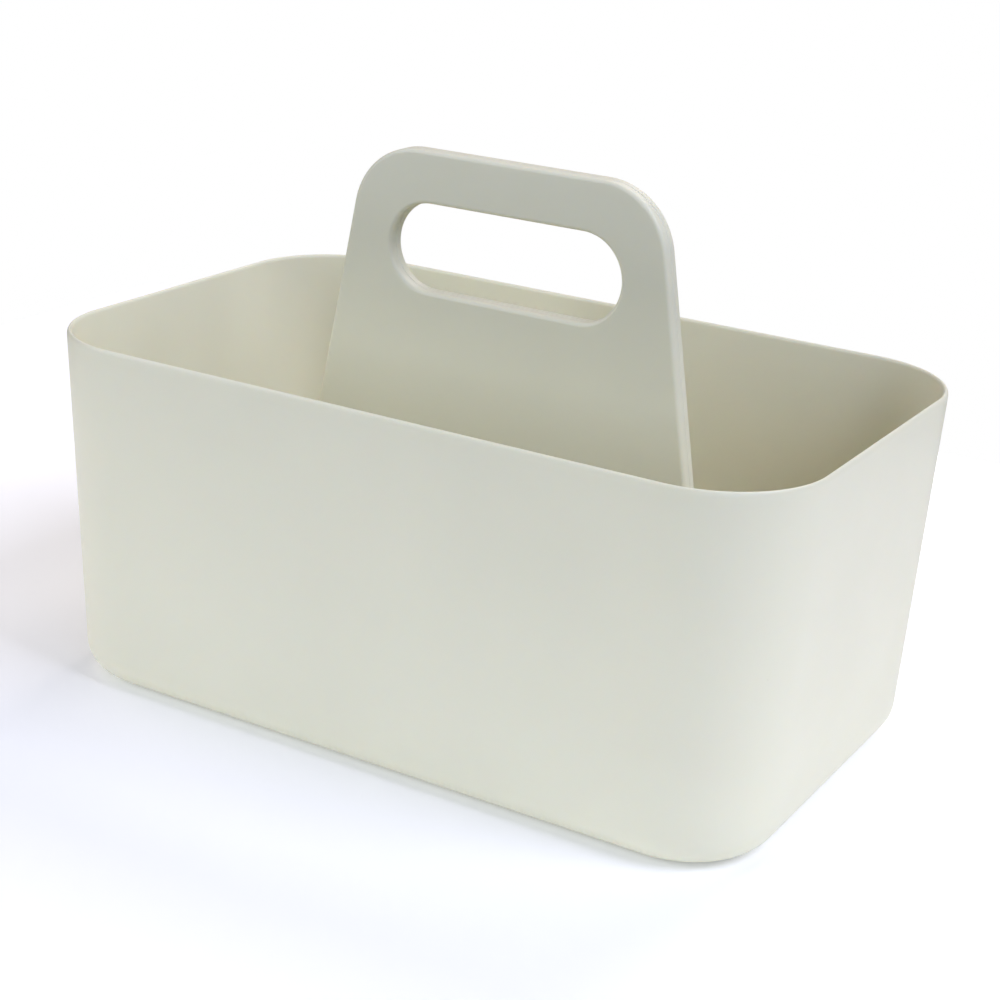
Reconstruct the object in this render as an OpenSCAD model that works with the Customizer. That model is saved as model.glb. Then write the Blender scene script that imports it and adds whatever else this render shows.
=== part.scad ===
// Carry caddy for the shower: an open rectangular tub with a hollow upright
// handle plate, made of two half shells and snapped into a seat in the floor.
// X runs along the length, Y across, Z up. The origin is under the middle of
// the tub, on the surface that it stands on.

/* [Tub] */
// Length over the rim
tub_length = 300; // [250:1:380]
// Width over the rim
tub_width = 183; // [150:1:240]
// Height of the rim above the ground
tub_height = 136; // [90:1:170]
// Thickness of the walls, and of the rounded rim
wall = 2; // [1.6:0.1:3]
// Lean of the walls in degrees, which lets the tub leave its mould
draft_angle = 2.5; // [0.5:0.1:3.5]
// Radius of the upright corners at the rim
corner_radius = 40; // [33:1:50]
// Radius of the bottom edge outside
bottom_radius = 13; // [8:0.5:16]
// Radius of the bottom edge inside
floor_radius = 10; // [5:0.5:13]
// Thickness of the floor
floor_thickness = 2.2; // [1.6:0.1:3]
// Height of the standing ring under the floor
ring_height = 1; // [0.5:0.1:2]
// Width of the standing ring
ring_width = 8; // [4:0.5:9]

/* [Drain holes] */
// Diameter of each drain hole
drain_diameter = 6; // [4:0.5:8]
// Drain holes in each compartment
drain_count = 5; // [3:1:7]
// Distance from the last hole's middle to the standing ring
drain_end_distance = 14; // [8:1:25]

/* [Handle] */
// Height of the handle's top above the ground
handle_height = 206; // [190:1:250]
// Thickness of the handle, both shells together
handle_thickness = 8; // [7:0.2:12]
// Width of the top edge, measured to the corners before rounding
handle_top_width = 121; // [116:1:140]
// Lean of the handle's side edges in degrees
handle_side_lean = 10.2; // [6:0.1:11]
// Radius of the handle's top corners
handle_corner_radius = 27; // [20:0.5:32]
// Rounding of the edges that the hand meets
handle_edge_radius = 1.5; // [0.8:0.1:1.9]
// Thickness of the shells' faces and walls
handle_wall = 2; // [1.5:0.1:2.4]
// Width of the fine groove where the two shells meet
seam_groove = 0.25; // [0.1:0.05:0.4]

/* [Hand slot] */
// Length of the hand slot
slot_length = 96; // [84:1:100]
// Height of the hand slot
slot_height = 32.8; // [26:0.2:38]
// Height of the grip bar above the slot
grip_height = 19.2; // [15:0.2:24]

/* [Snap tongues] */
// Height of the raised seat above the floor
seat_height = 4; // [3.5:0.5:7]
// How far the seat reaches past the handle's foot
seat_margin = 4; // [3:0.5:6]
// Pairs of snap tongues along the foot
tongue_count = 4; // [3:1:5]
// Width of each tongue
tongue_width = 18; // [12:1:22]
// Thickness of each tongue
tongue_thickness = 2; // [1.5:0.1:2.2]
// Gap between the two tongues of a pair, which lets them bend inwards
tongue_gap = 0.8; // [0.4:0.1:1.2]
// Overhang of the barb
barb = 1.2; // [0.8:0.1:1.5]
// Height of the barb
barb_height = 1.8; // [1.2:0.1:2]
// Clearance around the tongues and under the seat
snap_clearance = 0.2; // [0.1:0.05:0.3]

/* [Locating pins] */
// Diameter of the pins between the shells
pin_diameter = 4; // [3:0.5:5]
// How far a pin reaches past the seam
pin_reach = 1.6; // [1:0.1:2]
// Clearance between a pin and its socket, on the diameter
pin_clearance = 0.1; // [0.05:0.05:0.3]
// Wall around a pin's socket
socket_wall = 1.6; // [1:0.1:2.5]
// Distance from the outer pins to the handle's side edge
pin_edge_distance = 14; // [10:1:25]
// Rows of pins under the hand slot
pin_rows = 3; // [2:1:4]

/* [Hidden] */
$fn = 96;
plastic = "#d8d8cc";
// Extra length of a cutting shape, so that it leaves the far face cleanly
past = 1;
// Thickness of a slice, and the steps of the rounded outer edge in degrees
slice = 0.02;
edge_step = 18;

// The corner axes stay put at every height, so each corner is part of a cone
corner_x = tub_length / 2 - corner_radius;
corner_y = tub_width / 2 - corner_radius;
rim_radius = wall / 2;
rim_u = corner_radius - rim_radius;
rim_z = tub_height - rim_radius;
floor_top = ring_height + floor_thickness;
inner_z = floor_top + floor_radius;

// Distance from the corner axis to the outer and the inner face at height z
function outer_u(z) = rim_u + rim_radius / cos(draft_angle) + (z - rim_z) * tan(draft_angle);
function inner_u(z) = rim_u - rim_radius / cos(draft_angle) + (z - rim_z) * tan(draft_angle);
bottom_u = outer_u(bottom_radius) - bottom_radius / cos(draft_angle);
inner_bottom_u = inner_u(inner_z) - floor_radius / cos(draft_angle);
ring_u = bottom_u - ring_width;
// The floor panel reaches into the standing ring, so that they are one piece
panel_u = ring_u + ring_width / 2;

// Point on a circle about [u, z]
function on_circle(u, z, radius, angle) = [u + radius * cos(angle), z + radius * sin(angle)];

// Drain holes lie along the middle of each compartment
drain_span = corner_x + ring_u - drain_end_distance;
seat_half_width = handle_thickness / 2 + seat_margin;
drain_y = (seat_half_width + corner_y + inner_bottom_u) / 2;

// The handle's outline: straight leaning sides, tangent to the rounded corners
half_thickness = handle_thickness / 2;
seat_top = floor_top + seat_height;
handle_corner_z = handle_height - handle_corner_radius;
function handle_side_x(z) = handle_top_width / 2 + (handle_height - z) * tan(handle_side_lean);
handle_corner_x = handle_side_x(handle_corner_z) - handle_corner_radius / cos(handle_side_lean);
foot_half = handle_side_x(seat_top);
slot_radius = slot_height / 2;
slot_z = handle_height - grip_height - slot_radius;
slot_x = slot_length / 2 - slot_radius;

tongue_pitch = 2 * foot_half / tongue_count;
tongue_inner = tongue_gap / 2;
tongue_outer = tongue_inner + tongue_thickness;
barb_top = seat_top - floor_thickness - snap_clearance;

pin_row_pitch = (slot_z - slot_radius - seat_top) / (pin_rows + 1);

// Cross-section of the tub's wall: u is the distance from the corner axis
module wall_profile() {
    outer_low = on_circle(bottom_u, bottom_radius, bottom_radius, -draft_angle);
    outer_high = on_circle(rim_u, rim_z, rim_radius, -draft_angle);
    inner_low = on_circle(inner_bottom_u, inner_z, floor_radius, -draft_angle);
    inner_high = on_circle(rim_u, rim_z, rim_radius, 180 - draft_angle);
    intersection() {
        translate([ring_u, 0]) square([corner_radius, tub_height]);
        difference() {
            union() {
                polygon([[0, 0], [bottom_u, 0], outer_low, outer_high, inner_high, [0, inner_high[1]]]);
                translate([bottom_u, bottom_radius]) circle(bottom_radius);
                translate([rim_u, rim_z]) circle(rim_radius);
            }
            polygon([
                [-past, floor_top], [inner_bottom_u, floor_top], inner_low, inner_high,
                [inner_high[0], tub_height + past], [-past, tub_height + past]
            ]);
            translate([inner_bottom_u, inner_z]) circle(floor_radius);
        }
    }
}

// The same wall swept round the four corners and along the four sides
module swept_wall() {
    for (flip_x = [0, 1], flip_y = [0, 1])
        mirror([flip_x, 0, 0]) mirror([0, flip_y, 0])
            translate([corner_x, corner_y, 0]) rotate_extrude(angle = 90) wall_profile();
    for (flip_y = [0, 1])
        mirror([0, flip_y, 0]) translate([-corner_x, corner_y, 0])
            rotate([90, 0, 90]) linear_extrude(2 * corner_x) wall_profile();
    for (flip_x = [0, 1])
        mirror([flip_x, 0, 0]) translate([corner_x, corner_y, 0])
            rotate([90, 0, 0]) linear_extrude(2 * corner_y) wall_profile();
}

// Rectangle of half sizes half_x and half_y with rounded corners
module rounded_rectangle(half_x, half_y, radius) {
    square([2 * half_x - 2 * radius, 2 * half_y], center = true);
    square([2 * half_x, 2 * half_y - 2 * radius], center = true);
    for (side_x = [-1, 1], side_y = [-1, 1])
        translate([side_x * (half_x - radius), side_y * (half_y - radius)]) circle(radius);
}

// Outline of the handle's seat, grown by a distance
module seat_outline(grow) {
    rounded_rectangle(foot_half + seat_margin + grow, seat_half_width + grow, seat_half_width + grow - past);
}

module at_each_tongue() {
    for (i = [0 : tongue_count - 1])
        translate([(i - (tongue_count - 1) / 2) * tongue_pitch, 0, 0]) children();
}

module drain_holes() {
    for (i = [0 : drain_count - 1], side = [-1, 1])
        translate([drain_span * (2 * i / (drain_count - 1) - 1), side * drain_y, -past])
            cylinder(d = drain_diameter, h = floor_top + 2 * past);
}

module tub() {
    color(plastic)
    difference() {
        union() {
            swept_wall();
            translate([0, 0, ring_height]) linear_extrude(floor_thickness)
                rounded_rectangle(corner_x + panel_u, corner_y + panel_u, panel_u);
            translate([0, 0, ring_height]) linear_extrude(seat_top - ring_height) seat_outline(0);
        }
        translate([0, 0, -past]) linear_extrude(seat_top - floor_thickness + past)
            seat_outline(-floor_thickness);
        at_each_tongue()
            translate([0, 0, seat_top - floor_thickness / 2])
                cube([tongue_width + 2 * snap_clearance, 2 * tongue_outer + 2 * snap_clearance,
                      floor_thickness + 2 * past], center = true);
        drain_holes();
    }
}

// Handle outline in its own plane, moved inwards by a distance at the top and the sides
module handle_outline(inset) {
    radius = handle_corner_radius - inset;
    side = inset / cos(handle_side_lean);
    side_point = on_circle(handle_corner_x, handle_corner_z, radius, handle_side_lean);
    for (flip = [0, 1])
        mirror([flip, 0]) {
            polygon([
                [0, seat_top], [foot_half - side, seat_top], side_point,
                [handle_corner_x, handle_height - inset], [0, handle_height - inset]
            ]);
            translate([handle_corner_x, handle_corner_z]) circle(radius);
        }
}

module slot_outline(grow) {
    translate([-slot_x, slot_z - slot_radius - grow]) square([2 * slot_x, slot_height + 2 * grow]);
    for (side = [-1, 1])
        translate([side * slot_x, slot_z]) circle(slot_radius + grow);
}

// Cross-section of a shell's edge: x runs into the plastic, y from the seam to the face
module edge_profile() {
    face = half_thickness - handle_edge_radius;
    intersection() {
        square([handle_wall, half_thickness]);
        union() {
            polygon([
                [0, seam_groove], [seam_groove, 0], [handle_wall, 0],
                [handle_wall, half_thickness], [handle_edge_radius, half_thickness], [0, face]
            ]);
            translate([handle_edge_radius, face]) circle(handle_edge_radius);
        }
    }
}

// Straight run of the edge from a start point, with the plastic towards the given angle
module edge_run(start, towards, length) {
    translate(start) rotate([90, 0, towards]) linear_extrude(length) edge_profile();
}

// Slab of the shell's outer shape between two depths
module blank_slab(low, high, inset) {
    translate([0, 0, low]) linear_extrude(high - low) handle_outline(inset);
}

// Outer shape of one shell: grooved at the seam and rounded towards the face
module shell_blank() {
    hull() {
        blank_slab(0, slice, seam_groove);
        blank_slab(seam_groove, half_thickness - handle_edge_radius, 0);
        for (angle = [edge_step : edge_step : 90])
            let (depth = half_thickness - handle_edge_radius * (1 - sin(angle)))
                blank_slab(depth - slice, depth, handle_edge_radius * (1 - cos(angle)));
    }
}

// The edge round the hand slot: two straight runs and two round ends
module slot_edges() {
    edge_run([-slot_x, slot_z + slot_radius], 90, 2 * slot_x);
    edge_run([slot_x, slot_z - slot_radius], 270, 2 * slot_x);
    for (side = [-1, 1])
        translate([side * slot_x, slot_z, 0]) rotate([0, 0, side * -90])
            rotate_extrude(angle = 180) translate([slot_radius, 0]) edge_profile();
}

// Half of the handle without its pins or sockets, drawn flat: y up, z from the seam to the face
module flat_shell() {
    difference() {
        shell_blank();
        translate([0, 0, -past]) linear_extrude(half_thickness - handle_wall + past)
            intersection() {
                handle_outline(handle_wall);
                translate([-foot_half, seat_top + handle_wall]) square([2 * foot_half, handle_height]);
            }
        translate([0, 0, -past]) linear_extrude(half_thickness + 2 * past) slot_outline(handle_wall);
    }
    slot_edges();
    at_each_tongue()
        translate([-tongue_width / 2, 0, 0]) rotate([90, 0, 90]) linear_extrude(tongue_width)
            tongue_profile();
}

// Side view of one tongue with its barb, x up and y from the seam outwards
module tongue_profile() {
    tip = barb_top - barb_height;
    polygon([
        [seat_top + handle_wall / 2, tongue_inner], [tip, tongue_inner], [tip, tongue_outer],
        [barb_top, tongue_outer + barb], [barb_top, tongue_outer],
        [seat_top + handle_wall / 2, tongue_outer]
    ]);
}

// Places of the locating pins, in rows between the foot and the hand slot
module at_each_pin() {
    for (row = [1 : pin_rows])
        let (z = seat_top + row * pin_row_pitch)
            for (side = [-1, 0, 1])
                translate([side * (handle_side_x(z) - pin_edge_distance), z, 0]) children();
}

module stand_up() {
    rotate([90, 0, 0]) children();
}

module handle_front_shell() {
    color(plastic)
    stand_up() {
        flat_shell();
        at_each_pin()
            translate([0, 0, -pin_reach])
                cylinder(d = pin_diameter, h = pin_reach + half_thickness - handle_wall / 2);
    }
}

module handle_rear_shell() {
    socket = pin_diameter + pin_clearance;
    depth = half_thickness - handle_wall;
    color(plastic)
    mirror([0, 1, 0]) stand_up()
    difference() {
        union() {
            flat_shell();
            at_each_pin() cylinder(d = socket + 2 * socket_wall, h = depth + handle_wall / 2);
        }
        at_each_pin() translate([0, 0, -past]) cylinder(d = socket, h = depth + past);
    }
}

tub();
handle_front_shell();
handle_rear_shell();
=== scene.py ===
"""Looks for a carry caddy for the shower: a moulded tub and a hollow handle made of two half shells."""

import math

import bmesh
import bpy
from bpy.props import FloatProperty, FloatVectorProperty, IntProperty, PointerProperty
from mathutils import Matrix, Vector
from mathutils.geometry import delaunay_2d_cdt


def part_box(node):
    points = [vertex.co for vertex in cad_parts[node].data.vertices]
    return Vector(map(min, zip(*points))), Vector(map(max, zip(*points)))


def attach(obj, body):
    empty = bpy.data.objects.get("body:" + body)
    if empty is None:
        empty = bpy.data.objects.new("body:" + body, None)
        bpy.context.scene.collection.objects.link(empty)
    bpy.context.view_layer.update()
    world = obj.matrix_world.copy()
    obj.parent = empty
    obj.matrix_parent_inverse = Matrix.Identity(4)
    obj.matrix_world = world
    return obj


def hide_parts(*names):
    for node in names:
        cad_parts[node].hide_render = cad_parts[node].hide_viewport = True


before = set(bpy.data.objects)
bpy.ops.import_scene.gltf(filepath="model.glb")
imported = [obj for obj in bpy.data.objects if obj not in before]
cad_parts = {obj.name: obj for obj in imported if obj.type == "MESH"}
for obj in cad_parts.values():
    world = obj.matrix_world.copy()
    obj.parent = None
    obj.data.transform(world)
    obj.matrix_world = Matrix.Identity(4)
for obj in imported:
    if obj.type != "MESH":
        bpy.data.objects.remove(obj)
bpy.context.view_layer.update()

bl_info = {
    "name": "Shower caddy",
    "version": (1, 0, 0),
    "blender": (4, 5, 0),
    "location": "3D View > Sidebar > Caddy",
    "description": "Builds the moulded tub, the two handle shells and a plain studio around the packed frame",
    "category": "Object",
}

MM = 0.001
FRONT, REAR = -1, 1
WHITE = (1.0, 1.0, 1.0, 1.0)
# Points closer than this are one point, in metres
SAME_PLACE = 1e-7


def linear(hex_colour):
    """An sRGB hex colour as linear red, green and blue."""
    parts = [int(hex_colour[i : i + 2], 16) / 255 for i in (1, 3, 5)]
    return tuple(c / 12.92 if c <= 0.04045 else ((c + 0.055) / 1.055) ** 2.4 for c in parts)


# ---------------------------------------------------------------- settings


def size(name, description, millimetres):
    """A length property whose default is given in millimetres."""
    return FloatProperty(
        name=name, description=description, default=millimetres * MM, min=0.0, unit="LENGTH", precision=4
    )


def angle(name, description, degrees):
    """An angle property whose default is given in degrees."""
    return FloatProperty(name=name, description=description, default=math.radians(degrees), subtype="ANGLE")


def colour(name, description, hex_colour):
    """A colour property whose default is given as sRGB hex."""
    return FloatVectorProperty(
        name=name, description=description, default=linear(hex_colour), min=0.0, max=1.0, subtype="COLOR"
    )


class TubSettings(bpy.types.PropertyGroup):
    """Sizes of the tub; its length, width and height come from the frame."""

    wall: size("Wall", "Thickness of the walls and of the rounded rim", 2)
    draft: angle("Draft", "Lean of the walls, which lets the tub leave its mould", 2.5)
    corner_radius: size("Corner radius", "Radius of the upright corners at the rim", 40)
    bottom_radius: size("Bottom radius", "Radius of the bottom edge outside", 13)
    floor_radius: size("Floor radius", "Radius of the bottom edge inside", 10)
    floor_thickness: size("Floor thickness", "Thickness of the floor", 2.2)
    ring_height: size("Ring height", "Height of the standing ring under the floor", 1)
    ring_width: size("Ring width", "Width of the standing ring", 8)
    drain_diameter: size("Drain diameter", "Diameter of each drain hole", 6)
    drain_count: IntProperty(
        name="Drain holes", description="Drain holes in each compartment", default=5, min=2
    )
    drain_end_distance: size("Drain distance", "From the last drain hole to the standing ring", 14)
    seat_height: size("Seat height", "Height of the handle's seat above the floor", 4)
    seat_margin: size("Seat margin", "How far the seat reaches past the handle's foot", 4)
    edge: size("Edge", "Rounding of the seat and of the drain holes", 0.5)
    rim_drop_outside: size("Rim drop outside", "How far down the rim's soft rounding reaches outside", 2.2)
    rim_drop_inside: size("Rim drop inside", "How far down the rim's soft rounding reaches inside", 1.6)
    colour: colour("Colour", "Colour of the tub's plastic", "#E7E5CE")


class HandleSettings(bpy.types.PropertyGroup):
    """Sizes of the handle; its height and thickness come from the frame."""

    top_width: size("Top width", "Width of the top edge, to the corners before rounding", 121)
    side_lean: angle("Side lean", "Lean of the handle's side edges", 10.2)
    corner_radius: size("Corner radius", "Radius of the handle's top corners", 27)
    edge_radius: size("Edge radius", "Rounding of the edges that the hand meets", 1.5)
    wall: size("Wall", "Thickness of the shells' faces and walls", 2)
    groove: size("Seam groove", "Bevel of each shell where the two meet", 0.25)
    slot_length: size("Slot length", "Length of the hand slot", 96)
    slot_height: size("Slot height", "Height of the hand slot", 32.8)
    grip_height: size("Grip height", "Height of the grip bar above the slot", 19.2)
    tongue_count: IntProperty(
        name="Tongues", description="Pairs of snap tongues along the foot", default=4, min=1
    )
    tongue_width: size("Tongue width", "Width of each snap tongue", 18)
    tongue_thickness: size("Tongue thickness", "Thickness of each snap tongue", 2)
    tongue_gap: size("Tongue gap", "Gap between the two tongues of a pair", 0.8)
    tongue_clearance: size("Clearance", "Clearance around the tongues and under the seat", 0.2)
    barb: size("Barb", "Overhang of each barb", 1.2)
    barb_height: size("Barb height", "Height of each barb", 1.8)
    pin_diameter: size("Pin diameter", "Diameter of the pins between the shells", 4)
    pin_reach: size("Pin reach", "How far a pin reaches past the seam", 1.6)
    pin_clearance: size("Pin clearance", "Clearance of a pin in its socket, on the diameter", 0.1)
    socket_wall: size("Socket wall", "Wall around a pin's socket", 1.6)
    pin_edge_distance: size("Pin edge distance", "From the outer pins to the side edge", 14)
    pin_rows: IntProperty(name="Pin rows", description="Rows of pins under the hand slot", default=3, min=1)
    colour: colour("Colour", "Colour of the handle's plastic", "#E4E2CC")


def strength(name, description, value):
    """How bright a surface or the room glows, against 1 for white."""
    return FloatProperty(name=name, description=description, default=value, min=0.0)


def power(name, description, watts):
    """A light's power."""
    return FloatProperty(name=name, description=description, default=watts, min=0.0, unit="POWER")


class StageSettings(bpy.types.PropertyGroup):
    """The table and the lights."""

    table_length: size("Table length", "Length of the lit table that the caddy stands on", 1000)
    table_width: size("Table width", "Width of the lit table", 800)
    table_colour: colour("Table colour", "Colour of the table's acrylic sheet", "#FBFBFB")
    table_glow: strength("Table glow", "Light from under the sheet's middle", 0.12)
    border_glow: strength("Border glow", "Light from under the sheet's border", 0.25)
    glow_inner: size("Glow's inner reach", "The middle's glow is even this far out", 180)
    glow_outer: size("Glow's outer reach", "The border's glow starts this far out", 340)
    front_left: power("Front left", "Power of the softbox in front, on the left", 24.7)
    front_right: power("Front right", "Power of the softbox in front, on the right", 15.3)
    high_right: power("High right", "Power of the high softbox on the right", 25.2)
    high_left: power("High left", "Power of the high softbox on the left", 4.7)
    high_back: power("High back", "Power of the high softbox behind", 14.0)
    room: strength("Room", "Strength of the room's own light", 0.05)


# ---------------------------------------------------------------- outlines


def arc(u, v, radius, start, end, steps):
    """Points on a circle about (u, v), from one angle to another, in degrees."""
    points = []
    for i in range(steps + 1):
        turn = math.radians(start + (end - start) * i / steps)
        points.append((u + radius * math.cos(turn), v + radius * math.sin(turn)))
    return points


def line(a, b, steps):
    """Points from a to b, both included."""
    return [tuple(p + (q - p) * i / steps for p, q in zip(a, b)) for i in range(steps + 1)]


def joined(*runs):
    """Runs of points as one, without the points where one run meets the next."""
    points = []
    for run in runs:
        points += [p for p in run if not points or math.dist(p, points[-1]) > SAME_PLACE]
    if math.dist(points[0], points[-1]) < SAME_PLACE:
        points.pop()
    return points


def rounded_rectangle(half_x, half_y, radius, corner_steps, x_steps=1, y_steps=1):
    """A rectangle with rounded corners about the origin, anticlockwise."""
    x, y = half_x - radius, half_y - radius
    return joined(
        line((half_x, -y), (half_x, y), y_steps),
        arc(x, y, radius, 0, 90, corner_steps),
        line((x, half_y), (-x, half_y), x_steps),
        arc(-x, y, radius, 90, 180, corner_steps),
        line((-half_x, y), (-half_x, -y), y_steps),
        arc(-x, -y, radius, 180, 270, corner_steps),
        line((-x, -half_y), (x, -half_y), x_steps),
        arc(x, -y, radius, 270, 360, corner_steps),
    )


def rectangle(x0, x1, y0, y1):
    return [(x0, y0), (x1, y0), (x1, y1), (x0, y1)]


def inside(point, outline):
    """Whether a point lies within a closed outline."""
    x, y = point
    found = False
    for (ax, ay), (bx, by) in zip(outline, outline[1:] + outline[:1]):
        if (ay > y) != (by > y) and x < ax + (y - ay) * (bx - ax) / (by - ay):
            found = not found
    return found


# ---------------------------------------------------------------- meshes


class Skin:
    """A closed surface put together from rings of points, bands between rings and flat areas."""

    SHARP_ANGLE = math.radians(32)

    def __init__(self, place):
        self.place = place
        self.points = []
        self.faces = []

    def ring(self, outline, level):
        """Adds an outline's points at one level and returns their numbers."""
        first = len(self.points)
        self.points += [(u, v, level) for u, v in outline]
        return list(range(first, len(self.points)))

    def band(self, a, b, closed=True):
        """Fills the band between two rings of as many points."""
        count = len(a)
        for i in range(count if closed else count - 1):
            j = (i + 1) % count
            self.faces.append((a[i], a[j], b[j], b[i]))

    def rings(self, outlines, closed=True):
        """Bands through a list of (outline, level); returns the first and the last ring."""
        made = [self.ring(outline, level) for outline, level in outlines]
        for a, b in zip(made, made[1:]):
            self.band(a, b, closed)
        return made[0], made[-1]

    def flat(self, edge, holes=(), axes=(0, 1)):
        """Fills a flat area between its edge and its holes with triangles."""
        loops = [edge, *holes]
        numbers = [n for loop in loops for n in loop]
        spots = [Vector([self.points[n][k] for k in axes]) / MM for n in numbers]
        sides, first = [], 0
        for loop in loops:
            sides += [(first + i, first + (i + 1) % len(loop)) for i in range(len(loop))]
            first += len(loop)
        outlines = [[tuple(self.points[n][k] / MM for k in axes) for n in loop] for loop in loops]
        corners, _, triangles, origins, _, _ = delaunay_2d_cdt(spots, sides, [], 1, 1e-6)
        for triangle in triangles:
            middle = sum((corners[c] for c in triangle), Vector((0, 0))) / 3
            if inside(middle, outlines[0]) and not any(inside(middle, hole) for hole in outlines[1:]):
                self.faces.append(tuple(numbers[origins[c][0]] for c in triangle))

    def cap(self, ring):
        """Closes a ring with one face."""
        self.faces.append(tuple(ring))

    def build(self, name, material):
        """Makes the object: one closed mesh with its faces outwards, smooth up to the sharp angle."""
        mesh = bpy.data.meshes.new(name)
        mesh.from_pydata([self.place(*p) for p in self.points], [], self.faces)
        work = bmesh.new()
        work.from_mesh(mesh)
        bmesh.ops.remove_doubles(work, verts=work.verts, dist=SAME_PLACE)
        bmesh.ops.dissolve_degenerate(work, edges=work.edges, dist=SAME_PLACE / 10)
        bmesh.ops.recalc_face_normals(work, faces=work.faces)
        open_edges = sum(not e.is_manifold for e in work.edges)
        if open_edges:
            raise RuntimeError(f"{name} has {open_edges} open edges")
        work.to_mesh(mesh)
        work.free()
        mesh.shade_smooth()
        mesh.set_sharp_from_angle(angle=self.SHARP_ANGLE)
        mesh.materials.append(material)
        piece = bpy.data.objects.new(name, mesh)
        bpy.context.scene.collection.objects.link(piece)
        return piece


# ---------------------------------------------------------------- materials


def node(tree, kind, settings=None, **links):
    """Adds a node with its settings; each link is a socket's name and the output that feeds it."""
    made = tree.nodes.new(kind)
    for name, value in (settings or {}).items():
        if name in made.inputs:
            made.inputs[name].default_value = value
        else:
            setattr(made, name, value)
    for name, output in links.items():
        tree.links.new(output, made.inputs[int(name[1:]) if name[1:].isdigit() else name.replace("_", " ")])
    return made


def empty_material(name):
    """A material whose tree holds only its output."""
    material = bpy.data.materials.new(name)
    material.use_nodes = True
    material.node_tree.nodes.clear()
    return material, material.node_tree


def ramp(tree, source, low, high, from_value, to_value):
    """Takes low..high of a pattern to from_value..to_value, held at both ends."""
    settings = {"From Min": low, "From Max": high, "To Min": from_value, "To Max": to_value}
    return node(tree, "ShaderNodeMapRange", settings, Value=source).outputs["Result"]


def moulded_polypropylene(name, base):
    """Injection-moulded polypropylene with a fine spark-eroded finish.

    To the eye: an even satin surface without clear reflections, a slight milky depth at thin edges,
    very slow waves where the plastic shrank in the mould, and a few tiny dark specks and rub marks.
    """
    material, tree = empty_material(name)
    place = node(tree, "ShaderNodeTexCoord").outputs["Object"]

    # Flow clouds 60 mm across shift the pigment a little
    cloud = node(
        tree, "ShaderNodeTexNoise", {"Scale": 1 / (60 * MM), "Detail": 3.0, "Roughness": 0.5}, Vector=place
    ).outputs["Fac"]
    tone = ramp(tree, cloud, 0.3, 0.7, 0.985, 1.012)

    # Specks of about 0.5 mm: one cell in many of an 11 mm grid holds one
    cells = node(
        tree, "ShaderNodeTexVoronoi", {"Scale": 1 / (11 * MM), "Randomness": 1.0}, Vector=place
    )
    near = ramp(tree, cells.outputs["Distance"], 0.018, 0.034, 1.0, 0.0)
    chosen = node(tree, "ShaderNodeSeparateColor", Color=cells.outputs["Color"]).outputs["Red"]
    rare = ramp(tree, chosen, 0.955, 0.965, 0.0, 1.0)
    speck = node(
        tree, "ShaderNodeMath", {"operation": "MULTIPLY"}, _0=near, _1=rare
    ).outputs["Value"]

    shade = node(tree, "ShaderNodeMix", {"data_type": "RGBA", "blend_type": "MULTIPLY"})
    shade.inputs[0].default_value = 1.0
    shade.inputs[6].default_value = (*base, 1.0)
    tree.links.new(tone, shade.inputs[7])
    dirt = node(tree, "ShaderNodeMix", {"data_type": "RGBA"})
    dirt.inputs[7].default_value = (*linear("#8C8779"), 1.0)
    amount = ramp(tree, speck, 0.0, 1.0, 0.0, 0.2)
    tree.links.new(amount, dirt.inputs[0])
    tree.links.new(shade.outputs[2], dirt.inputs[6])

    # Spark-eroded grain: the real grit is about 0.1 mm and drawn as 0.9 mm, so that it shows
    grain = node(
        tree, "ShaderNodeTexNoise", {"Scale": 1 / (0.9 * MM), "Detail": 2.0, "Roughness": 0.6}, Vector=place
    ).outputs["Fac"]
    # Shrink waves 45 mm long
    wave = node(
        tree, "ShaderNodeTexNoise", {"Scale": 1 / (45 * MM), "Detail": 1.0, "Roughness": 0.4}, Vector=place
    ).outputs["Fac"]
    waves = node(tree, "ShaderNodeBump", {"Strength": 0.35, "Distance": 0.25 * MM}, Height=wave)
    bump = node(
        tree, "ShaderNodeBump", {"Strength": 0.12, "Distance": 0.02 * MM},
        Height=grain, Normal=waves.outputs["Normal"],
    )

    # Hands and shelves polish the outer edges, and slow rub marks break the satin
    rub = node(
        tree, "ShaderNodeTexNoise", {"Scale": 1 / (22 * MM), "Detail": 6.0, "Roughness": 0.62}, Vector=place
    ).outputs["Fac"]
    satin = ramp(tree, rub, 0.3, 0.7, 0.50, 0.42)
    polish = ramp(tree, node(tree, "ShaderNodeNewGeometry").outputs["Pointiness"], 0.505, 0.56, 0.0, 0.08)
    rough = node(
        tree, "ShaderNodeMath", {"operation": "SUBTRACT", "use_clamp": True}, _0=satin, _1=polish
    ).outputs["Value"]

    shader = node(
        tree,
        "ShaderNodeBsdfPrincipled",
        {
            "IOR": 1.49,
            "Metallic": 0.0,
            "Subsurface Weight": 0.35,
            "Subsurface Radius": (1.0, 0.82, 0.55),
            "Subsurface Scale": 2 * MM,
        },
        Base_Color=dirt.outputs[2],
        Roughness=rough,
        Normal=bump.outputs["Normal"],
    )
    node(tree, "ShaderNodeOutputMaterial", Surface=shader.outputs["BSDF"])
    return material


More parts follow.
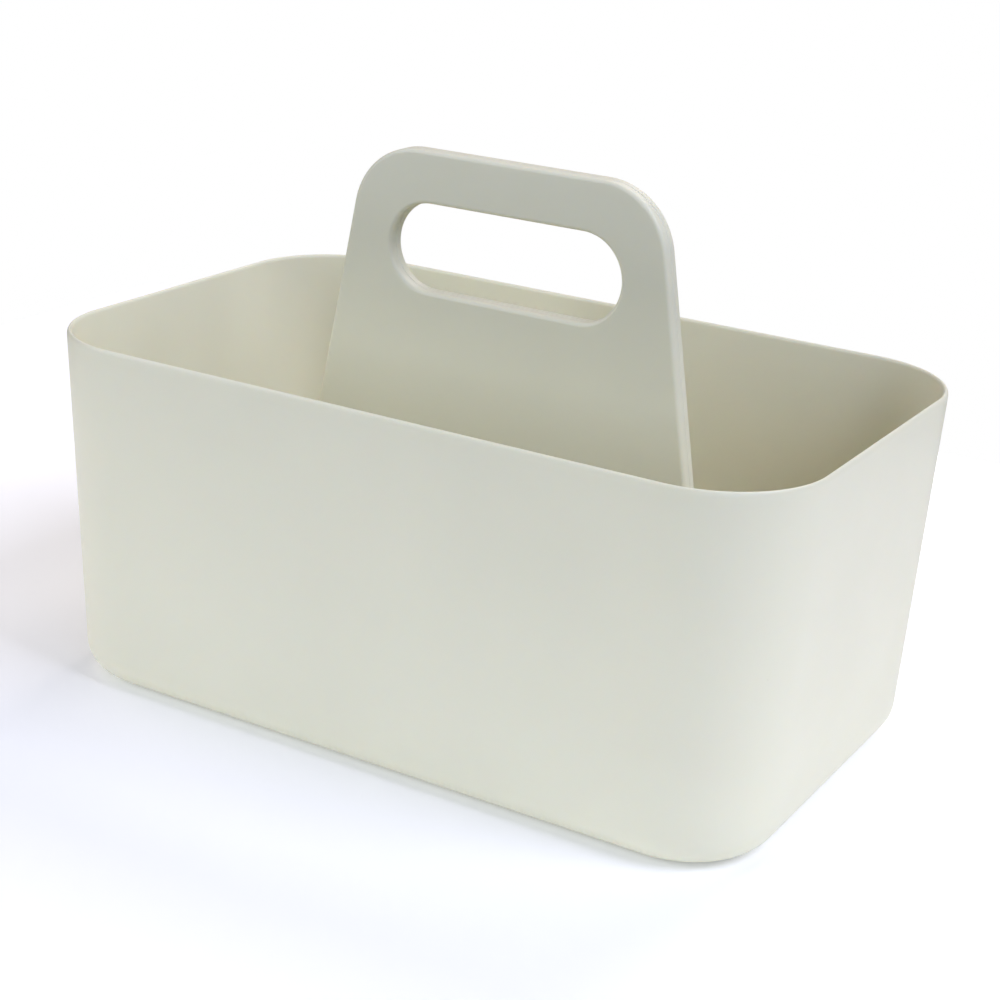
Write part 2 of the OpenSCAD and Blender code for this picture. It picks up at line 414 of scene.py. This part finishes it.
def opal_acrylic(base, glow, border, inner, outer):
    """Sand-blasted opal acrylic sheet with lamps under it: white and matt, brightest round its border.

    To the eye: a clean pale ground that fades to white, with only a soft shadow near the caddy.
    """
    material, tree = empty_material("opal_acrylic_sheet")
    place = node(tree, "ShaderNodeTexCoord").outputs["Object"]
    # Blasting marks 2 mm wide
    marks = node(tree, "ShaderNodeTexNoise", {"Scale": 1 / (2 * MM), "Detail": 2.0}, Vector=place)
    bump = node(
        tree, "ShaderNodeBump", {"Strength": 0.05, "Distance": 0.05 * MM}, Height=marks.outputs["Fac"]
    )
    # The glow grows from the sheet's middle out to its border
    away = node(tree, "ShaderNodeVectorMath", {"operation": "LENGTH"}, _0=place).outputs["Value"]
    lamp = ramp(tree, away, inner, outer, glow, border)
    settings = {
        "Base Color": (*base, 1.0),
        "Roughness": 0.9,
        "IOR": 1.49,
        "Specular IOR Level": 0.2,
        "Emission Color": WHITE,
    }
    shader = node(
        tree, "ShaderNodeBsdfPrincipled", settings, Emission_Strength=lamp, Normal=bump.outputs["Normal"]
    )
    node(tree, "ShaderNodeOutputMaterial", Surface=shader.outputs["BSDF"])
    return material


# ---------------------------------------------------------------- shapes


class TubShape:
    """The tub's outlines, worked out from its settings and from the frame."""

    CORNER_STEPS, LONG_STEPS, SHORT_STEPS = 24, 32, 20
    BOTTOM_STEPS, WALL_STEPS, RIM_STEPS = 12, 14, 9
    SEAT_CORNER_STEPS, SEAT_STEPS, SEAT_EDGE_STEPS, DRAIN_EDGE_STEPS = 10, 24, 5, 4
    # Flat edge strips that keep the shading of a rounding off the flat areas
    SUPPORT = 0.8 * MM
    # Half of the straight end that the seat's outline keeps between its two corners
    SEAT_END = 1 * MM

    def __init__(self, tub, handle):
        low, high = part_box("tub")
        self.tub = tub
        self.corner_x = high.x - tub.corner_radius
        self.corner_y = high.y - tub.corner_radius
        self.rim_radius = tub.wall / 2
        self.rim_u = tub.corner_radius - self.rim_radius
        self.rim_z = high.z - self.rim_radius
        self.floor_top = tub.ring_height + tub.floor_thickness
        self.inner_z = self.floor_top + tub.floor_radius
        self.lean = math.degrees(tub.draft)
        across = 1 / math.cos(tub.draft)
        outer = self.wall_u(tub.bottom_radius, self.rim_radius * across)
        inner = self.wall_u(self.inner_z, -self.rim_radius * across)
        self.bottom_u = outer - tub.bottom_radius * across
        self.inner_bottom_u = inner - tub.floor_radius * across
        self.ring_u = self.bottom_u - tub.ring_width
        self.seat_top = self.floor_top + tub.seat_height
        self.seat_half_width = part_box("handle_rear_shell")[1].y + tub.seat_margin
        self.foot_half = handle.foot_half
        self.handle = handle

    def wall_u(self, z, shift):
        """Distance from a corner's axis to a face of the wall at a height."""
        return self.rim_u + shift + (z - self.rim_z) * math.tan(self.tub.draft)

    def around(self, u):
        """The tub's outline at a distance from the corner axes."""
        return rounded_rectangle(
            self.corner_x + u, self.corner_y + u, u, self.CORNER_STEPS, self.LONG_STEPS, self.SHORT_STEPS
        )

    def wall_profile(self):
        """(u, z) from the standing ring's inner edge, round the outside and the rim, to the floor inside."""
        tub, lean = self.tub, self.lean
        outside = arc(self.bottom_u, tub.bottom_radius, tub.bottom_radius, -90, -lean, self.BOTTOM_STEPS)
        rim = joined(self.rim_side(1, tub.rim_drop_outside), self.rim_side(-1, tub.rim_drop_inside)[::-1])
        inside_edge = arc(self.inner_bottom_u, self.inner_z, tub.floor_radius, -lean, -90, self.BOTTOM_STEPS)
        return joined(
            [(self.ring_u - self.SUPPORT, tub.ring_height), (self.ring_u, tub.ring_height), (self.ring_u, 0)],
            [(self.bottom_u - self.SUPPORT, 0)],
            outside,
            line(outside[-1], rim[0], self.WALL_STEPS),
            rim,
            line(rim[-1], inside_edge[0], self.WALL_STEPS),
            inside_edge,
            [(self.inner_bottom_u - self.SUPPORT, self.floor_top)],
        )

    def rim_side(self, way, drop):
        """A quarter of an ellipse from a face of the wall up to the middle of the rim."""
        top = self.rim_z + self.rim_radius
        reach = self.wall_u(top - drop, way * self.rim_radius / math.cos(self.tub.draft)) - self.rim_u
        quarter = arc(0, 0, 1, 0, 90, self.RIM_STEPS)
        return [(self.rim_u + reach * u, top - drop + drop * v) for u, v in quarter]

    def seat(self, grow):
        """Outline of the handle's seat, grown by a distance."""
        half = self.seat_half_width + grow
        length = self.foot_half + self.tub.seat_margin + grow
        return rounded_rectangle(length, half, half - self.SEAT_END, self.SEAT_CORNER_STEPS, self.SEAT_STEPS)

    def drains(self):
        """Middles of the drain holes, along the middle of each compartment."""
        span = self.corner_x + self.ring_u - self.tub.drain_end_distance
        y = (self.seat_half_width + self.corner_y + self.inner_bottom_u) / 2
        last = self.tub.drain_count - 1
        return [(span * (2 * i / last - 1), side * y) for i in range(last + 1) for side in (-1, 1)]

    def slots(self):
        """The openings in the seat for the handle's tongues."""
        gap = self.handle.settings.tongue_clearance
        half_x = self.handle.settings.tongue_width / 2 + gap
        half_y = self.handle.tongue_outer + gap
        return [rectangle(x - half_x, x + half_x, -half_y, half_y) for x in self.handle.tongue_places()]


class HandleShape:
    """The handle's outlines in its own plane: x along the tub, z up."""

    SIDE_STEPS, CORNER_STEPS, TOP_STEPS, END_STEPS, EDGE_STEPS = 16, 20, 12, 32, 9
    SUPPORT = 0.35 * MM

    def __init__(self, handle, tub):
        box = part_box("handle_rear_shell")
        self.settings = handle
        self.top = box[1].z
        self.half_thickness = box[1].y
        self.foot = tub.ring_height + tub.floor_thickness + tub.seat_height
        self.tan = math.tan(handle.side_lean)
        self.across = 1 / math.cos(handle.side_lean)
        self.corner_z = self.top - handle.corner_radius
        self.corner_x = self.side_x(self.corner_z) - handle.corner_radius * self.across
        self.foot_half = self.side_x(self.foot)
        self.slot_radius = handle.slot_height / 2
        self.slot_z = self.top - handle.grip_height - self.slot_radius
        self.slot_x = handle.slot_length / 2 - self.slot_radius
        self.tongue_inner = handle.tongue_gap / 2
        self.tongue_outer = self.tongue_inner + handle.tongue_thickness
        self.barb_top = self.foot - tub.floor_thickness - handle.tongue_clearance

    def side_x(self, z):
        """Half of the handle's width at a height, before its corners are rounded."""
        return self.settings.top_width / 2 + (self.top - z) * self.tan

    def arch(self, inset, foot):
        """Up the right side, over the top and down the left side, moved inwards by a distance."""
        radius = self.settings.corner_radius - inset
        lean = math.degrees(self.settings.side_lean)
        right = arc(self.corner_x, self.corner_z, radius, lean, 90, self.CORNER_STEPS)
        left = arc(-self.corner_x, self.corner_z, radius, 90, 180 - lean, self.CORNER_STEPS)
        x = self.side_x(foot) - inset * self.across
        return joined(
            line((x, foot), right[0], self.SIDE_STEPS),
            right,
            line(right[-1], left[0], self.TOP_STEPS),
            left,
            line(left[-1], (-x, foot), self.SIDE_STEPS),
        )

    def slot(self, grow):
        """The hand slot's outline, grown by a distance."""
        radius = self.slot_radius + grow
        return joined(
            arc(self.slot_x, self.slot_z, radius, -90, 90, self.END_STEPS),
            line((self.slot_x, self.slot_z + radius), (-self.slot_x, self.slot_z + radius), self.TOP_STEPS),
            arc(-self.slot_x, self.slot_z, radius, 90, 270, self.END_STEPS),
            line((-self.slot_x, self.slot_z - radius), (self.slot_x, self.slot_z - radius), self.TOP_STEPS),
        )

    def edge_profile(self):
        """(inset, depth) from the seam's bevel, up the edge and round onto the face."""
        handle, half = self.settings, self.half_thickness
        radius = handle.edge_radius
        rounding = [(radius - u, v) for u, v in arc(0, half - radius, radius, 0, 90, self.EDGE_STEPS)]
        return [
            (handle.groove, 0),
            (0, handle.groove),
            (0, handle.groove + self.SUPPORT),
            (0, half - radius - self.SUPPORT),
            *rounding,
            (radius + self.SUPPORT, half),
        ]

    def tongue_places(self):
        """Middles of the tongues, evenly spaced along the foot."""
        count = self.settings.tongue_count
        pitch = 2 * self.foot_half / count
        return [(i - (count - 1) / 2) * pitch for i in range(count)]

    def pin_places(self):
        """Middles of the locating pins, in rows between the foot and the slot."""
        rows = self.settings.pin_rows
        pitch = (self.slot_z - self.slot_radius - self.foot) / (rows + 1)
        places = []
        for row in range(1, rows + 1):
            z = self.foot + row * pitch
            x = self.side_x(z) - self.settings.pin_edge_distance
            places += [(side * x, z) for side in (-1, 0, 1)]
        return places


CIRCLE_STEPS = 24


def circle(x, y, radius):
    """A circle's points, anticlockwise."""
    return joined(arc(x, y, radius, 0, 360, CIRCLE_STEPS))


def tub_skin(shape):
    """The whole tub as one closed surface; a skin's points are x, y and height."""
    tub = shape.tub
    skin = Skin(lambda x, y, z: (x, y, z))
    underside, floor = skin.rings([(shape.around(u), z) for u, z in shape.wall_profile()])

    # Drain holes, softly rounded above and below
    floor_holes, under_holes = [], []
    edge, radius = tub.edge, tub.drain_diameter / 2
    for x, y in shape.drains():
        upper = arc(radius + edge, shape.floor_top - edge, edge, 90, 180, shape.DRAIN_EDGE_STEPS)
        lower = arc(radius + edge, tub.ring_height + edge, edge, 180, 270, shape.DRAIN_EDGE_STEPS)
        support = edge / 2
        wall = [(radius + edge + support, shape.floor_top), *upper, *lower]
        wall.append((radius + edge + support, tub.ring_height))
        top, bottom = skin.rings([(circle(x, y, r), z) for r, z in wall])
        floor_holes.append(top)
        under_holes.append(bottom)

    # The seat: a small fillet at its foot, a rounded upper edge, and its hollow underside
    foot = arc(2 * edge, 2 * edge, 2 * edge, 270, 180, shape.SEAT_EDGE_STEPS)
    shoulder = arc(-2 * edge, -2 * edge, 2 * edge, 0, 90, shape.SEAT_EDGE_STEPS)
    side = [(3 * edge, shape.floor_top)]
    side += [(grow, shape.floor_top + rise) for grow, rise in foot]
    side += [(grow, shape.seat_top + rise) for grow, rise in shoulder]
    side.append((-3 * edge, shape.seat_top))
    seat_foot, seat_plane = skin.rings([(shape.seat(grow), z) for grow, z in side])
    hollow_top = shape.seat_top - tub.floor_thickness
    hollow = [(shape.seat(-tub.floor_thickness), z) for z in (tub.ring_height, hollow_top)]
    hollow_edge, hollow_plane = skin.rings(hollow)
    uppers, lowers = [], []
    for slot in shape.slots():
        upper, lower = skin.rings([(slot, shape.seat_top), (slot, hollow_top)])
        uppers.append(upper)
        lowers.append(lower)

    skin.flat(floor, [*floor_holes, seat_foot])
    skin.flat(seat_plane, uppers)
    skin.flat(hollow_plane, lowers)
    skin.flat(underside, [*under_holes, hollow_edge])
    return skin


def add_tongues(skin, shape):
    """The snap tongues under a shell's foot, with their barbs; returns their rings on the foot.

    A skin's points here are x, height and depth, so each ring is written point by point.
    """
    handle = shape.settings
    tip = shape.barb_top - handle.barb_height
    levels = [
        (shape.foot, shape.tongue_outer),
        (shape.barb_top, shape.tongue_outer),
        (shape.barb_top, shape.tongue_outer + handle.barb),
        (tip, shape.tongue_outer),
    ]
    holes = []
    for middle in shape.tongue_places():
        rings = []
        for z, outer in levels:
            first = len(skin.points)
            x0, x1 = middle - handle.tongue_width / 2, middle + handle.tongue_width / 2
            skin.points += [(x, z, depth) for x, depth in rectangle(x0, x1, shape.tongue_inner, outer)]
            rings.append(list(range(first, first + 4)))
        for a, b in zip(rings, rings[1:]):
            skin.band(a, b)
        skin.cap(rings[-1])
        holes.append(rings[0])
    return holes


def add_pins(skin, shape, side):
    """Locating pins inside the front shell, or their sockets inside the rear one; returns their rings."""
    handle = shape.settings
    inner = shape.half_thickness - handle.wall
    pin = handle.pin_diameter / 2
    bore = pin + handle.pin_clearance / 2
    if side == FRONT:
        levels = [(pin, inner), (pin, -handle.pin_reach)]
    else:
        outer = bore + handle.socket_wall
        levels = [(outer, inner), (outer, 0), (bore, 0), (bore, inner)]
    holes = []
    for x, z in shape.pin_places():
        base, end = skin.rings([(circle(x, z, radius), depth) for radius, depth in levels])
        skin.cap(end)
        holes.append(base)
    return holes


def shell_skin(shape, side):
    """One hollow half of the handle as a closed surface; a skin's points are x, height and depth."""
    handle = shape.settings
    inner = shape.half_thickness - handle.wall
    skin = Skin(lambda x, z, depth: (x, side * depth, z))

    # The outer edge runs over the top and stops at the foot
    edge = [skin.ring(shape.arch(inset, shape.foot), depth) for inset, depth in shape.edge_profile()]
    for a, b in zip(edge, edge[1:]):
        skin.band(a, b, closed=False)

    # The edge of the hand slot goes all the way round, and back along the slot's inner wall
    slot_edge = [(shape.slot(grow), depth) for grow, depth in shape.edge_profile()]
    slot_back = [(shape.slot(handle.wall), inner), (shape.slot(handle.wall), 0)]
    slot_hollow, slot_face = skin.rings([*slot_back, *slot_edge])

    # The hollow inside, above the wall at the foot
    hollow = shape.arch(handle.wall, shape.foot + handle.wall)
    hollow_seam, hollow_floor = skin.rings([(hollow, 0), (hollow, inner)])

    skin.flat(edge[-1], [slot_face])
    skin.flat(edge[0], [hollow_seam])
    skin.flat(hollow_floor, [slot_hollow, *add_pins(skin, shape, side)])
    foot = [ring[-1] for ring in edge] + [ring[0] for ring in reversed(edge)]
    skin.flat(foot, add_tongues(skin, shape), axes=(0, 2))
    return skin


# ---------------------------------------------------------------- stage


# Where the camera stands, in metres, and how it looks: turned left, tilted down and rolled, in degrees
CAMERA_PLACE = Vector((0.3625, -0.6295, 0.3448))
CAMERA_TURN, CAMERA_TILT, CAMERA_ROLL = 29.784, 20.122, 3.079
# The lens's focal length and the sensor's width, in millimetres
CAMERA_LENS, CAMERA_SENSOR = 74.18, 36.0


def look_at(place, target):
    """A turn that points a light's -Z from a place to a target."""
    return (Vector(target) - Vector(place)).to_track_quat("-Z", "Y").to_euler()


def add_camera():
    camera = bpy.data.objects.new("camera", bpy.data.cameras.new("camera"))
    camera.data.lens = CAMERA_LENS
    camera.data.sensor_width = CAMERA_SENSOR
    camera.data.clip_start = 10 * MM
    turn = Matrix.Rotation(math.radians(CAMERA_TURN), 4, "Z")
    tilt = Matrix.Rotation(math.radians(90 - CAMERA_TILT), 4, "X")
    roll = Matrix.Rotation(math.radians(CAMERA_ROLL), 4, "Z")
    camera.matrix_world = Matrix.Translation(CAMERA_PLACE) @ turn @ tilt @ roll
    bpy.context.scene.collection.objects.link(camera)
    bpy.context.scene.camera = camera


# Each softbox: its setting, where it stands, the side of its square front, in metres, and its tint
SOFTBOXES = (
    ("front_left", (-1.5, -1.5, 0.9), 1.4, "#EDF3FF"),
    ("front_right", (1.5, -1.5, 0.9), 1.4, "#D3E2FF"),
    ("high_right", (1.3, 0.0, 1.5), 1.0, "#E8EBFF"),
    ("high_left", (-1.3, 0.0, 1.5), 1.0, "#FFEAF7"),
    ("high_back", (0.0, 1.3, 1.5), 1.0, "#FFF5EE"),
)
AIM = (0.0, 0.0, 0.1)


def add_softbox(name, place, side, watts, tint):
    light = bpy.data.lights.new(name, "AREA")
    light.shape = "SQUARE"
    light.size = side
    light.energy = watts
    light.color = linear(tint)
    lamp = bpy.data.objects.new(name, light)
    lamp.location = place
    lamp.rotation_euler = look_at(place, AIM)
    bpy.context.scene.collection.objects.link(lamp)


def add_room(brightness):
    """A dim even room, white where the camera looks straight at it."""
    world = bpy.data.worlds.new("room")
    bpy.context.scene.world = world
    world.use_nodes = True
    tree = world.node_tree
    tree.nodes.clear()
    dim = node(tree, "ShaderNodeBackground", {"Color": WHITE, "Strength": brightness})
    white = node(tree, "ShaderNodeBackground", {"Color": WHITE, "Strength": 1.0})
    seen = node(tree, "ShaderNodeLightPath").outputs["Is Camera Ray"]
    mix = node(tree, "ShaderNodeMixShader", _0=seen, _1=dim.outputs[0], _2=white.outputs[0])
    node(tree, "ShaderNodeOutputWorld", Surface=mix.outputs[0])


# The sheet lies this much under the caddy, so that it shares no plane with the standing ring
TABLE_GAP = 0.1 * MM


def add_table(stage):
    """The plain pale sheet that the caddy stands on, in the middle of it."""
    half_x, half_y = stage.table_length / 2, stage.table_width / 2
    mesh = bpy.data.meshes.new("table")
    corners = [(x, y, 0.0) for x, y in rectangle(-half_x, half_x, -half_y, half_y)]
    mesh.from_pydata(corners, [], [(0, 1, 2, 3)])
    reach = (stage.glow_inner, stage.glow_outer)
    sheet = opal_acrylic(stage.table_colour, stage.table_glow, stage.border_glow, *reach)
    mesh.materials.append(sheet)
    table = bpy.data.objects.new("table", mesh)
    table.location.z = -TABLE_GAP
    bpy.context.scene.collection.objects.link(table)


# ---------------------------------------------------------------- operators


def shapes(scene):
    """The handle's and the tub's shapes from the scene's settings."""
    handle = HandleShape(scene.caddy_handle, scene.caddy_tub)
    return handle, TubShape(scene.caddy_tub, handle)


def settle(piece, cad_node):
    """Puts a finished piece on its body in place of its CAD node."""
    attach(piece, "root")
    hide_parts(cad_node)


class CADDY_OT_add_tub(bpy.types.Operator):
    """Build the moulded tub with its rim, floor, drain holes and handle seat"""

    bl_idname = "caddy.add_tub"
    bl_label = "Add tub"

    def execute(self, context):
        _, shape = shapes(context.scene)
        plastic = moulded_polypropylene("moulded_polypropylene_tub", context.scene.caddy_tub.colour)
        settle(tub_skin(shape).build("moulded_tub", plastic), "tub")
        return {"FINISHED"}


class CADDY_OT_add_handle(bpy.types.Operator):
    """Build the front and the rear shell of the handle"""

    bl_idname = "caddy.add_handle"
    bl_label = "Add handle shells"

    def execute(self, context):
        shape, _ = shapes(context.scene)
        plastic = moulded_polypropylene("moulded_polypropylene_handle", context.scene.caddy_handle.colour)
        for side, name in ((FRONT, "front"), (REAR, "rear")):
            piece = shell_skin(shape, side).build(f"handle_{name}_moulding", plastic)
            settle(piece, f"handle_{name}_shell")
        return {"FINISHED"}


class CADDY_OT_add_stage(bpy.types.Operator):
    """Add the camera, the table, the softboxes and the room's light"""

    bl_idname = "caddy.add_stage"
    bl_label = "Add stage"

    def execute(self, context):
        stage = context.scene.caddy_stage
        add_camera()
        add_table(stage)
        for name, place, side, tint in SOFTBOXES:
            add_softbox(name, place, side, getattr(stage, name), tint)
        add_room(stage.room)
        context.scene.view_settings.view_transform = "Standard"
        return {"FINISHED"}


class CADDY_PT_panel(bpy.types.Panel):
    """The caddy's pieces and their settings"""

    bl_idname = "CADDY_PT_panel"
    bl_label = "Shower caddy"
    bl_space_type = "VIEW_3D"
    bl_region_type = "UI"
    bl_category = "Caddy"

    def draw(self, context):
        for operator, group in (
            (CADDY_OT_add_tub, context.scene.caddy_tub),
            (CADDY_OT_add_handle, context.scene.caddy_handle),
            (CADDY_OT_add_stage, context.scene.caddy_stage),
        ):
            box = self.layout.box()
            box.operator(operator.bl_idname)
            for name in group.__annotations__:
                box.prop(group, name)


CLASSES = (
    TubSettings,
    HandleSettings,
    StageSettings,
    CADDY_OT_add_tub,
    CADDY_OT_add_handle,
    CADDY_OT_add_stage,
    CADDY_PT_panel,
)


def register():
    for one in CLASSES:
        bpy.utils.register_class(one)
    bpy.types.Scene.caddy_tub = PointerProperty(type=TubSettings)
    bpy.types.Scene.caddy_handle = PointerProperty(type=HandleSettings)
    bpy.types.Scene.caddy_stage = PointerProperty(type=StageSettings)


def unregister():
    del bpy.types.Scene.caddy_tub, bpy.types.Scene.caddy_handle, bpy.types.Scene.caddy_stage
    for one in reversed(CLASSES):
        bpy.utils.unregister_class(one)


def main():
    register()
    bpy.ops.caddy.add_stage()
    bpy.ops.caddy.add_tub()
    bpy.ops.caddy.add_handle()


if __name__ == "__main__":
    main()
